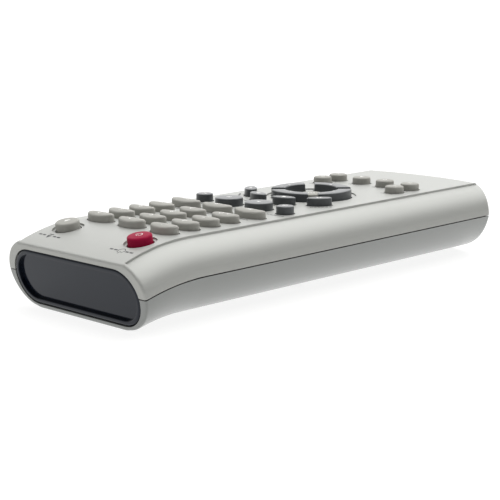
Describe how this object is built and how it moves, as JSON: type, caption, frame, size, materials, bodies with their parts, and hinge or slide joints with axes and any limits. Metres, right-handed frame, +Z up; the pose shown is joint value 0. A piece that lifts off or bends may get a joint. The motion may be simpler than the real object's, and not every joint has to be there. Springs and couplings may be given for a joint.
{
  "type": "dvd player remote control",
  "caption": "Slim hand-held remote control: two-part shell, bent-down nose with a dark infrared window, moulded keys, a ring of direction keys and a sliding battery door.",
  "frame": {"origin": "under the middle of the body, on the plane that it lies on", "axes": "+Z up out of the key deck, +Y from the infrared window towards the tail, +X towards the side of the red power key"},
  "size_m": [0.0566, 0.151, 0.0246],
  "materials": {
    "case_upper": "satin silver-grey paint on moulded ABS",
    "case_lower": "satin silver-grey paint on moulded ABS",
    "filter_plastic": "polished dark infrared filter",
    "led_epoxy": "clear blue-tinted epoxy",
    "board_laminate": "phenolic paper laminate",
    "keypad_silicone": "moulded silicone",
    "carbon_rubber": "carbon-filled silicone",
    "chip_epoxy": "moulded epoxy",
    "resonator_coating": "dipped resin",
    "capacitor_sleeve": "shrunk PVC sleeve",
    "cell_jacket": null,
    "plated_steel": "nickel-plated spring steel",
    "screw_steel": "zinc-plated steel",
    "key_light": "light grey moulded keys",
    "key_dark": "dark grey moulded keys",
    "key_red": "deep red moulded key"
  },
  "bodies": {
    "root": {"case_screws": "screw_steel", "cell_1": "cell_jacket", "cell_2": "cell_jacket", "ceramic_resonator": "resonator_coating", "chip_resistors": "chip_epoxy", "circuit_board": "board_laminate", "contact_pills": "carbon_rubber", "control_chip": "chip_epoxy", "electrolytic_capacitor": "capacitor_sleeve", "ir_led": "led_epoxy", "ir_window": "filter_plastic", "keypad_sheet": "keypad_silicone", "linked_contact": "plated_steel", "lower_shell": "case_lower", "negative_contact": "plated_steel", "positive_contact": "plated_steel", "transistor": "chip_epoxy", "upper_shell": "case_upper"},
    "down_key": {"down_key": "key_dark"},
    "enter_key": {"enter_key": "key_dark"},
    "left_key": {"left_key": "key_dark"},
    "menu_key_1": {"menu_key_1": "key_light"},
    "menu_key_2": {"menu_key_2": "key_light"},
    "menu_key_3": {"menu_key_3": "key_light"},
    "number_key_1_1": {"number_key_1_1": "key_light"},
    "number_key_1_2": {"number_key_1_2": "key_light"},
    "number_key_1_3": {"number_key_1_3": "key_light"},
    "number_key_2_1": {"number_key_2_1": "key_light"},
    "number_key_2_2": {"number_key_2_2": "key_light"},
    "number_key_2_3": {"number_key_2_3": "key_light"},
    "number_key_3_1": {"number_key_3_1": "key_light"},
    "number_key_3_2": {"number_key_3_2": "key_light"},
    "number_key_3_3": {"number_key_3_3": "key_light"},
    "number_key_4_1": {"number_key_4_1": "key_light"},
    "number_key_4_2": {"number_key_4_2": "key_light"},
    "number_key_4_3": {"number_key_4_3": "key_light"},
    "open_key": {"open_key": "key_light"},
    "pause_key": {"pause_key": "key_dark"},
    "play_key": {"play_key": "key_dark"},
    "power_key": {"power_key": "key_red"},
    "right_key": {"right_key": "key_dark"},
    "search_back_key": {"search_back_key": "key_dark"},
    "search_forward_key": {"search_forward_key": "key_dark"},
    "skip_back_key": {"skip_back_key": "key_dark"},
    "skip_forward_key": {"skip_forward_key": "key_dark"},
    "step_key": {"step_key": "key_dark"},
    "stop_key": {"stop_key": "key_dark"},
    "tail_key_1": {"tail_key_1": "key_light"},
    "tail_key_2": {"tail_key_2": "key_light"},
    "tail_key_3": {"tail_key_3": "key_light"},
    "tail_key_4": {"tail_key_4": "key_light"},
    "tail_key_5": {"tail_key_5": "key_light"},
    "tail_key_6": {"tail_key_6": "key_light"},
    "up_key": {"up_key": "key_dark"},
    "battery_door": {"battery_door": "case_lower"}
  },
  "joints": [
    {"name": "down_key_press", "type": "slide", "parent": "root", "child": "down_key", "axis": [0, 0, -1], "range_m": [0, 0.0009], "stiffness_N_per_m": 600, "springref_m": -0.0004},
    {"name": "enter_key_press", "type": "slide", "parent": "root", "child": "enter_key", "axis": [0, 0, -1], "range_m": [0, 0.0009], "stiffness_N_per_m": 600, "springref_m": -0.0004},
    {"name": "left_key_press", "type": "slide", "parent": "root", "child": "left_key", "axis": [0, 0, -1], "range_m": [0, 0.0009], "stiffness_N_per_m": 600, "springref_m": -0.0004},
    {"name": "menu_key_1_press", "type": "slide", "parent": "root", "child": "menu_key_1", "axis": [0, 0, -1], "range_m": [0, 0.0009], "stiffness_N_per_m": 600, "springref_m": -0.0004},
    {"name": "menu_key_2_press", "type": "slide", "parent": "root", "child": "menu_key_2", "axis": [0, 0, -1], "range_m": [0, 0.0009], "stiffness_N_per_m": 600, "springref_m": -0.0004},
    {"name": "menu_key_3_press", "type": "slide", "parent": "root", "child": "menu_key_3", "axis": [0, 0, -1], "range_m": [0, 0.0009], "stiffness_N_per_m": 600, "springref_m": -0.0004},
    {"name": "number_key_1_1_press", "type": "slide", "parent": "root", "child": "number_key_1_1", "axis": [0, 0, -1], "range_m": [0, 0.0009], "stiffness_N_per_m": 600, "springref_m": -0.0004},
    {"name": "number_key_1_2_press", "type": "slide", "parent": "root", "child": "number_key_1_2", "axis": [0, 0, -1], "range_m": [0, 0.0009], "stiffness_N_per_m": 600, "springref_m": -0.0004},
    {"name": "number_key_1_3_press", "type": "slide", "parent": "root", "child": "number_key_1_3", "axis": [0, 0, -1], "range_m": [0, 0.0009], "stiffness_N_per_m": 600, "springref_m": -0.0004},
    {"name": "number_key_2_1_press", "type": "slide", "parent": "root", "child": "number_key_2_1", "axis": [0, 0, -1], "range_m": [0, 0.0009], "stiffness_N_per_m": 600, "springref_m": -0.0004},
    {"name": "number_key_2_2_press", "type": "slide", "parent": "root", "child": "number_key_2_2", "axis": [0, 0, -1], "range_m": [0, 0.0009], "stiffness_N_per_m": 600, "springref_m": -0.0004},
    {"name": "number_key_2_3_press", "type": "slide", "parent": "root", "child": "number_key_2_3", "axis": [0, 0, -1], "range_m": [0, 0.0009], "stiffness_N_per_m": 600, "springref_m": -0.0004},
    {"name": "number_key_3_1_press", "type": "slide", "parent": "root", "child": "number_key_3_1", "axis": [0, 0, -1], "range_m": [0, 0.0009], "stiffness_N_per_m": 600, "springref_m": -0.0004},
    {"name": "number_key_3_2_press", "type": "slide", "parent": "root", "child": "number_key_3_2", "axis": [0, 0, -1], "range_m": [0, 0.0009], "stiffness_N_per_m": 600, "springref_m": -0.0004},
    {"name": "number_key_3_3_press", "type": "slide", "parent": "root", "child": "number_key_3_3", "axis": [0, 0, -1], "range_m": [0, 0.0009], "stiffness_N_per_m": 600, "springref_m": -0.0004},
    {"name": "number_key_4_1_press", "type": "slide", "parent": "root", "child": "number_key_4_1", "axis": [0, 0, -1], "range_m": [0, 0.0009], "stiffness_N_per_m": 600, "springref_m": -0.0004},
    {"name": "number_key_4_2_press", "type": "slide", "parent": "root", "child": "number_key_4_2", "axis": [0, 0, -1], "range_m": [0, 0.0009], "stiffness_N_per_m": 600, "springref_m": -0.0004},
    {"name": "number_key_4_3_press", "type": "slide", "parent": "root", "child": "number_key_4_3", "axis": [0, 0, -1], "range_m": [0, 0.0009], "stiffness_N_per_m": 600, "springref_m": -0.0004},
    {"name": "open_key_press", "type": "slide", "parent": "root", "child": "open_key", "axis": [0, 0.1688, -0.9857], "range_m": [0, 0.0009], "stiffness_N_per_m": 600, "springref_m": -0.0004},
    {"name": "pause_key_press", "type": "slide", "parent": "root", "child": "pause_key", "axis": [0, 0, -1], "range_m": [0, 0.0009], "stiffness_N_per_m": 600, "springref_m": -0.0004},
    {"name": "play_key_press", "type": "slide", "parent": "root", "child": "play_key", "axis": [0, 0, -1], "range_m": [0, 0.0009], "stiffness_N_per_m": 600, "springref_m": -0.0004},
    {"name": "power_key_press", "type": "slide", "parent": "root", "child": "power_key", "axis": [0, 0.1688, -0.9857], "range_m": [0, 0.0009], "stiffness_N_per_m": 600, "springref_m": -0.0004},
    {"name": "right_key_press", "type": "slide", "parent": "root", "child": "right_key", "axis": [0, 0, -1], "range_m": [0, 0.0009], "stiffness_N_per_m": 600, "springref_m": -0.0004},
    {"name": "search_back_key_press", "type": "slide", "parent": "root", "child": "search_back_key", "axis": [0, 0, -1], "range_m": [0, 0.0009], "stiffness_N_per_m": 600, "springref_m": -0.0004},
    {"name": "search_forward_key_press", "type": "slide", "parent": "root", "child": "search_forward_key", "axis": [0, 0, -1], "range_m": [0, 0.0009], "stiffness_N_per_m": 600, "springref_m": -0.0004},
    {"name": "skip_back_key_press", "type": "slide", "parent": "root", "child": "skip_back_key", "axis": [0, 0, -1], "range_m": [0, 0.0009], "stiffness_N_per_m": 600, "springref_m": -0.0004},
    {"name": "skip_forward_key_press", "type": "slide", "parent": "root", "child": "skip_forward_key", "axis": [0, 0, -1], "range_m": [0, 0.0009], "stiffness_N_per_m": 600, "springref_m": -0.0004},
    {"name": "step_key_press", "type": "slide", "parent": "root", "child": "step_key", "axis": [0, 0, -1], "range_m": [0, 0.0009], "stiffness_N_per_m": 600, "springref_m": -0.0004},
    {"name": "stop_key_press", "type": "slide", "parent": "root", "child": "stop_key", "axis": [0, 0, -1], "range_m": [0, 0.0009], "stiffness_N_per_m": 600, "springref_m": -0.0004},
    {"name": "tail_key_1_press", "type": "slide", "parent": "root", "child": "tail_key_1", "axis": [0, 0, -1], "range_m": [0, 0.0009], "stiffness_N_per_m": 600, "springref_m": -0.0004},
    {"name": "tail_key_2_press", "type": "slide", "parent": "root", "child": "tail_key_2", "axis": [0, 0, -1], "range_m": [0, 0.0009], "stiffness_N_per_m": 600, "springref_m": -0.0004},
    {"name": "tail_key_3_press", "type": "slide", "parent": "root", "child": "tail_key_3", "axis": [0, 0, -1], "range_m": [0, 0.0009], "stiffness_N_per_m": 600, "springref_m": -0.0004},
    {"name": "tail_key_4_press", "type": "slide", "parent": "root", "child": "tail_key_4", "axis": [0, 0, -1], "range_m": [0, 0.0009], "stiffness_N_per_m": 600, "springref_m": -0.0004},
    {"name": "tail_key_5_press", "type": "slide", "parent": "root", "child": "tail_key_5", "axis": [0, 0, -1], "range_m": [0, 0.0009], "stiffness_N_per_m": 600, "springref_m": -0.0004},
    {"name": "tail_key_6_press", "type": "slide", "parent": "root", "child": "tail_key_6", "axis": [0, 0, -1], "range_m": [0, 0.0009], "stiffness_N_per_m": 600, "springref_m": -0.0004},
    {"name": "up_key_press", "type": "slide", "parent": "root", "child": "up_key", "axis": [0, 0, -1], "range_m": [0, 0.0009], "stiffness_N_per_m": 600, "springref_m": -0.0004},
    {"name": "battery_door_slide", "type": "slide", "parent": "root", "child": "battery_door", "axis": [0, 1, 0], "range_m": [0, 0.065]}
  ]
}
